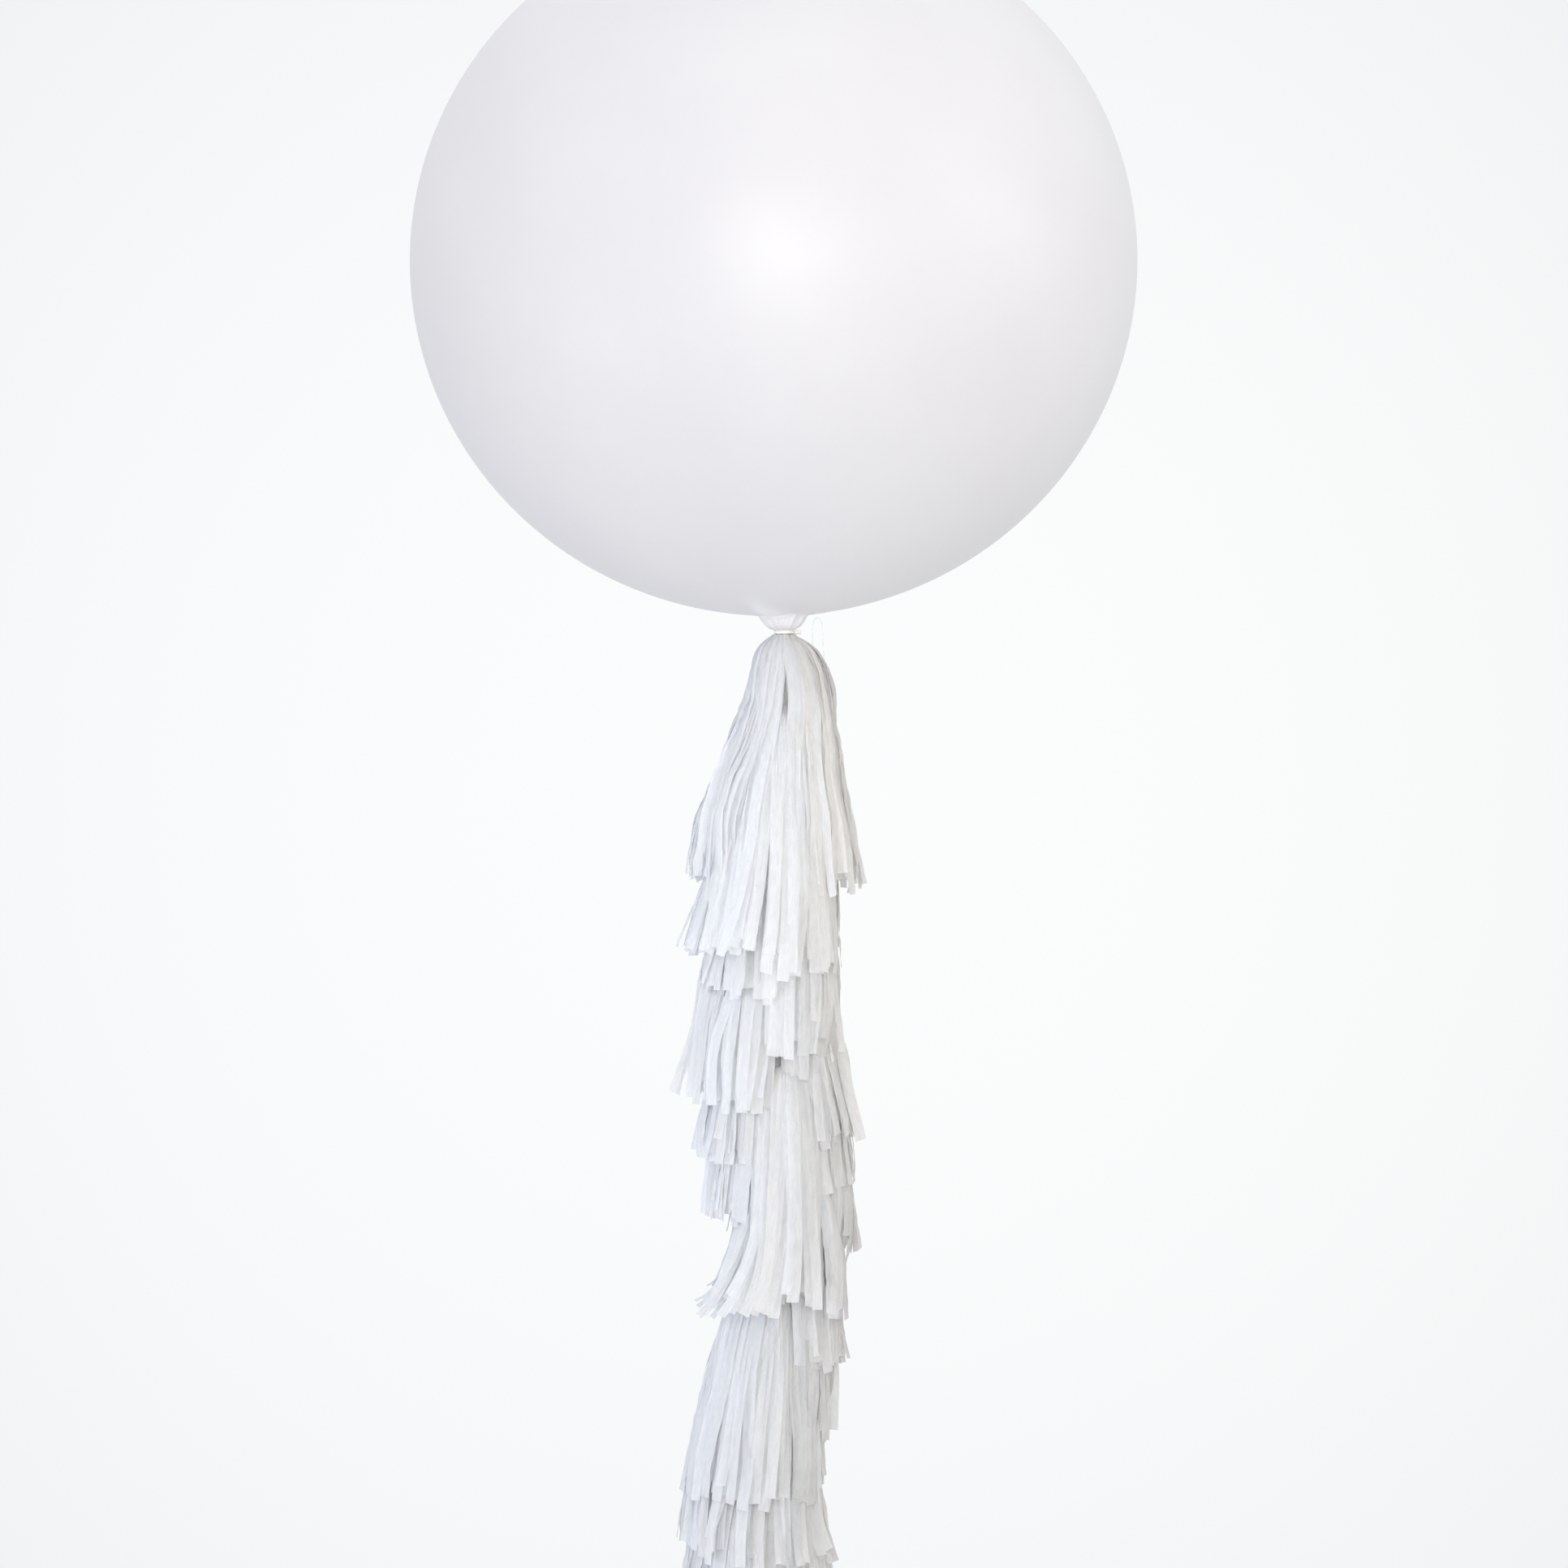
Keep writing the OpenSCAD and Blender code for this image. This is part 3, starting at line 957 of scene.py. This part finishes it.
def uneven_reach(rng, i, even, phi, s, share):
    """The even reach with each strip's own, the tassel's front, and swells that run from strip to strip."""
    count = len(s)
    rho = even * (1 + per_strip(rng.normal(0, REACH_SPREAD, count)) * share)
    rho = rho + STEP * MM * per_strip(np.arange(count) % 2)
    rho = rho + per_strip(rng.normal(0, WAVINESS, count)) * MM * wave(rng, share, 4, 10, count) * share
    front = forward(phi) ** 2
    rho = rho * (1 + FRONT_REACH.get(i, 0) * front * np.minimum(1, s / FRONT_REACH_FROM))
    filled = s / FRONT_FILL_AT * np.exp(1 - s / FRONT_FILL_AT)
    rho = rho + FRONT_FILL.get(i, 0) * MM * front * filled
    swell = np.sin(3.1 * phi + s * rng.uniform(20, 34) + rng.uniform(0, TAU))
    swell += np.sin(5.3 * phi - s * rng.uniform(30, 46) + rng.uniform(0, TAU))
    return rho + SWELLS * MM * swell * np.minimum(1, s / SWOLLEN_AT)


def heights(x, y, s):
    """Heights that keep each strip its length, on its way out and down."""
    step = np.diff(s, axis=1)
    flat = np.hypot(np.diff(x, axis=1), np.diff(y, axis=1))
    fall = np.sqrt(np.maximum(step**2 - np.minimum(flat, MOST_FLAT * step) ** 2, 0))
    return -np.concatenate([np.zeros((len(s), 1)), np.cumsum(fall, axis=1)], axis=1)


def fan(rng, i, layer, half):
    """The strips on one side of one layer, as their middle lines."""
    share = np.linspace(0, 1, RINGS) ** RING_POWER
    order, azimuth = places_round(rng, layer, half)
    cut = cut_lengths(rng, i, layer, half, order, azimuth)
    kick = kicks(rng, len(cut))
    lower, further, turn = strays(i, layer, half, azimuth)
    s = per_strip(cut + lower) * share
    phi = bearings(rng, i, half, order, azimuth, s, share)
    even, aside = even_skirt(i, layer, phi, s)
    rho = uneven_reach(rng, i, even, phi, s, share)
    rho = rho + per_strip(kick) * share**7 + per_strip(further) * share**3
    x = rho * np.cos(phi) + aside
    y = rho * np.sin(phi)
    return Strips(x, y, heights(x, y, s), s, share, phi, azimuth, turn)


def strip_axes(strips):
    """The middle of each strip at each ring, and unit vectors along it, across it and out of its face."""
    centre = np.stack([strips.x, strips.y, strips.z], axis=-1)
    tangent = np.gradient(centre, axis=1)
    tangent /= np.linalg.norm(tangent, axis=-1, keepdims=True)
    phi = strips.phi
    across = np.stack([-np.sin(phi), np.cos(phi), np.zeros_like(phi)], axis=-1)
    across -= (across * tangent).sum(-1, keepdims=True) * tangent
    across /= np.linalg.norm(across, axis=-1, keepdims=True)
    return centre, tangent, across, np.cross(tangent, across)


def strip_turns(rng, strips):
    """How far each strip is turned about its middle line: pleated at the head, lapped below it."""
    count, share = len(strips.s), strips.share
    odd = (rng.random(count) < TURNED) & (strips.turn == 0)
    lapped = -LAP * np.sign(np.sin(2 * strips.azimuth)) + rng.normal(0, LAP_SPREAD, count)
    own = np.where(odd, rng.normal(0, TURN_OF_ODD, count), rng.normal(0, TURN_SPREAD, count))
    pleat = PLEAT * per_strip(rng.choice([-1, 1], count)) * np.exp(-strips.s / PLEATS_FADE)
    stray = per_strip(strips.turn) * np.clip(2.5 * share - 0.8, 0, 1)
    return per_strip(lapped) + per_strip(own) * share**1.5 + pleat + stray


def widen(rng, strips):
    """Points across each strip, curled and crumpled a little, in the shape (strips, RINGS, columns, 3)."""
    count, share = len(strips.s), strips.share
    centre, tangent, across, normal = strip_axes(strips)
    angle = strip_turns(rng, strips)[..., None]
    side = np.cos(angle) * across + np.sin(angle) * normal
    out = -np.sin(angle) * across + np.cos(angle) * normal
    width = STRIP_WIDTH * (1 + per_strip(rng.normal(0, WIDTH_SPREAD, count)))
    gathered = 0.36 + 0.64 * np.clip(strips.s / FLAT_AT, 0, 1) ** 0.8
    curl = per_strip(rng.normal(0, CURL, count))
    curl = curl * np.cos(share * per_strip(rng.uniform(1, 5, count))) * width
    crumple = rng.normal(0, CRUMPLE, (count, RINGS, len(COLUMNS))) * MM
    crumple = crumple * np.minimum(1, share * 5)[:, None]
    slant = per_strip(rng.normal(0, END_SLANT, count)) * width * (share > 0.999)
    offset = (width * gathered / 2)[..., None] * COLUMNS
    lift = curl[..., None] * (1 - COLUMNS**2) + crumple
    longer = slant[..., None] * COLUMNS
    points = centre[:, :, None, :] + offset[..., None] * side[:, :, None, :]
    points = points + lift[..., None] * out[:, :, None, :]
    return points + longer[..., None] * tangent[:, :, None, :]


def strip_uv(rng, strips):
    """Metres across and along each strip, each from a place of its own, so that no two crinkle alike."""
    count = len(strips.s)
    place = rng.uniform(0, 5, (count, 2))
    uv = np.empty((count, RINGS, len(COLUMNS), 2))
    uv[..., 0] = (COLUMNS * STRIP_WIDTH / 2)[None, None, :] + place[:, 0, None, None]
    uv[..., 1] = strips.s[:, :, None] + place[:, 1, None, None]
    return uv


def strips_piece(name, blocks, tones_and_side_light, uvs):
    """One mesh of ribbons. Each block holds points, in the shape (strips, RINGS, columns, 3)."""
    points = np.concatenate(blocks).reshape(-1, 3)
    wide = len(COLUMNS)
    count = len(points) // (RINGS * wide)
    base = (np.arange(count) * RINGS * wide)[:, None, None]
    ring = (np.arange(RINGS - 1) * wide)[None, :, None]
    corner = base + ring + np.arange(wide - 1)[None, None, :]
    quads = np.stack([corner, corner + 1, corner + wide + 1, corner + wide], axis=-1).reshape(-1, 4)
    piece = mesh_object(name, points.tolist(), quads.tolist(), TISSUE)
    set_layer(piece, "tone_and_side_light", np.repeat(np.concatenate(tones_and_side_light), RINGS * wide))
    uv = np.concatenate(uvs).reshape(-1, 2)
    set_uv(piece, uv[quads.reshape(-1)].ravel())
    return piece


def bend_across(node):
    """The joint that the node's strips have to bend with, if there is one."""
    for joint in JOINTS:
        if any(soft["node"] == node for soft in joint.get("deforming_nodes") or []):
            return joint
    return None


def tassel_fringe(i):
    node = tassel_node(i, "fringe")
    top = middle(tassel_node(i, "head")).z if i > 1 else FIRST_FRINGE_TOP
    rng = np.random.default_rng(SEED + i)
    blocks, tones_and_side_light, uvs = [], [], []
    for layer, count in enumerate(STRIPS_IN_LAYER):
        height = top + (0 if i == 1 else START_RISE - START_LOWER * layer) * MM
        for half in (RIGHT, LEFT):
            strips = fan(rng, i, layer, half)
            blocks.append(widen(rng, strips) + np.array([0, 0, height]))
            # Painted light: strips on the left are painted cooler as if lit, strips on the right warmer as
            # if in shade
            tone_and_side_light = rng.normal(TONE, TONE_SPREAD, count) - PAINTED_SIDE_LIGHT * np.cos(strips.azimuth)
            tones_and_side_light.append(np.clip(tone_and_side_light, 0, 1))
            uvs.append(strip_uv(rng, strips))
    piece = strips_piece(f"tissue_strips_{i:02d}", blocks, tones_and_side_light, uvs)
    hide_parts(node)
    bend = bend_across(node)
    if bend:
        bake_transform(piece)
    else:
        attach(piece, BODY_OF[node])


HEAD_AROUND = 120
# The head's pleats, as heights (shares of the radius) and numbers round it
HEAD_PLEATS = ((0.05, 8), (0.035, 13), (0.02, 21))


def tassel_head(i):
    """The twisted middle of the sheets: a short roll with slanting pleats, open inside for the line."""
    node = tassel_node(i, "head")
    low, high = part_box(node)
    outer, half = high[0], (high[2] - low[2]) / 2
    centre = (high[2] + low[2]) / 2
    inner = outer * (0.56 if i > 1 else 0.69)
    roll_at, roll_r, roll_z = (outer + inner) / 2 * 0.98, (outer - inner) / 2 * 0.9, half * 0.95
    rng = np.random.default_rng(SEED + 100 + i)
    phases = rng.uniform(0, TAU, len(HEAD_PLEATS))
    rows = 22
    outline = []
    for n in range(rows + 1):
        a = TAU * n / rows
        outline.append((roll_at - roll_r * math.cos(a), centre + roll_z * math.sin(a)))

    def ripple(a, t):
        slant = a + TAU * t * 0.35
        return sum(
            deep * math.cos(number * slant + phase)
            for (deep, number), phase in zip(HEAD_PLEATS, phases)
        )

    piece = lathe(f"tissue_twist_{i:02d}", outline, ripple, TWIST, steps=HEAD_AROUND)
    across, along_row = outer * TAU / HEAD_AROUND, 2 * MM
    uv = []
    for face in piece.data.polygons:
        for v in face.vertices:
            uv += [(v % HEAD_AROUND) * across, (v // HEAD_AROUND) * along_row]
    set_uv(piece, uv)
    set_layer(piece, "tone_and_side_light", rng.uniform(0.2, 0.7, len(piece.data.vertices)))
    belong(piece, node)


for number in range(1, TASSELS + 1):
    tassel_head(number)
    tassel_fringe(number)

# ---- stage and light ----

FLOOR_Z = -1.55
FLOOR_R = 1.84


def floor():
    """A round pale floor under the tail, with a rolled edge. The bright world round it is the backdrop."""
    steps, edge = 160, 0.02
    rolled = (math.pi / 2, 1.2, 0.8, 0.4)
    rings = [(FLOOR_R - edge + edge * math.sin(a), edge * (math.cos(a) - 1)) for a in rolled]
    rings += [(FLOOR_R - edge, 0), (FLOOR_R * 0.5, 0), (0.02, 0)]
    points = [
        (r * math.cos(TAU * k / steps), r * math.sin(TAU * k / steps), FLOOR_Z + z)
        for r, z in rings
        for k in range(steps)
    ]
    inmost = tuple(range(len(points) - steps, len(points)))
    faces = grid_faces(len(rings), steps, closed=True) + [inmost]
    mesh_object("pale_floor", points, faces, floor_material())


def area_light(name, location, target, size, power, colour, spread=180.0):
    """A soft light. size is its width and height in metres, power is in watts and spread in degrees."""
    data = bpy.data.lights.new(name, "AREA")
    data.shape = "ELLIPSE"
    data.size, data.size_y = size
    data.energy = power
    data.color = colour
    data.spread = math.radians(spread)
    lamp = add_object(name, data)
    lamp.location = location
    lamp.rotation_euler = (Vector(target) - Vector(location)).to_track_quat("-Z", "Y").to_euler()
    lamp.visible_camera = False


def world_light():
    """White light from all round: brightest behind the object, cooler from the left than the right."""
    world = bpy.data.worlds.new("studio")
    world.use_nodes = True
    tree = world.node_tree
    split = add_node(tree, "ShaderNodeSeparateXYZ")
    tree.links.new(add_node(tree, "ShaderNodeTexCoord").outputs["Generated"], split.inputs["Vector"])
    across = add_node(tree, "ShaderNodeMapRange", From_Min=-1.0, From_Max=1.0)
    tree.links.new(split.outputs["X"], across.inputs["Value"])
    tint_and_side_light = ramp(tree, across.outputs["Result"], (0.965, 0.975, 1.0), (1.0, 0.985, 0.965))
    glow = ramp(tree, split.outputs["Y"], (0.82, 0.835, 0.85), (0.985, 0.998, 1.0), 0.93, 1.0)
    both = multiply_colours(tree, tint_and_side_light, glow)
    above = add_node(tree, "ShaderNodeMapRange", From_Min=0.25, From_Max=0.85, To_Min=1.0, To_Max=1.25)
    below = add_node(tree, "ShaderNodeMapRange", From_Min=-0.9, From_Max=-0.25, To_Min=0.7, To_Max=1.0)
    strength = add_node(tree, "ShaderNodeMath", operation="MULTIPLY")
    for n, part in enumerate((above, below)):
        tree.links.new(split.outputs["Z"], part.inputs["Value"])
        tree.links.new(part.outputs["Result"], strength.inputs[n])
    background = tree.nodes["Background"]
    tree.links.new(both, background.inputs["Color"])
    tree.links.new(strength.outputs[0], background.inputs["Strength"])
    bpy.context.scene.world = world


floor()
world_light()
area_light("key_front", (0.0, -4.3, 0.45), (0, 0, 0.4), (2.3, 1.6), 36, (1.0, 0.99, 0.985))
area_light("globe_right", (3.4, -1.6, 1.0), (0.1, 0, 0.6), (1.6, 1.6), 0.8, (0.97, 0.98, 1.0), 35)
area_light("tail_fill", (0.2, -4.0, -0.35), (0, 0, -0.4), (1.4, 1.0), 1.4, (1.0, 0.985, 0.97), 40)
area_light("tassel_top", (0.1, -4.0, -0.45), (0, 0, -0.2), (0.6, 0.6), 0.04, (1.0, 0.99, 0.985), 13)
area_light("tie_right", (2.6, -2.9, -0.15), (0.04, 0, -0.22), (0.5, 0.5), 0.075, (1.0, 0.99, 0.97), 9)
area_light("tie_left", (-2.6, -2.9, -0.15), (-0.04, 0, -0.22), (0.5, 0.5), 0.085, (0.98, 0.99, 1.0), 9)
area_light("side_left", (-2.8, -2.0, -1.3), (0, 0, -0.65), (1.2, 1.2), 2.2, (0.78, 0.85, 1.0), 40)

bpy.context.scene.view_settings.view_transform = "Standard"
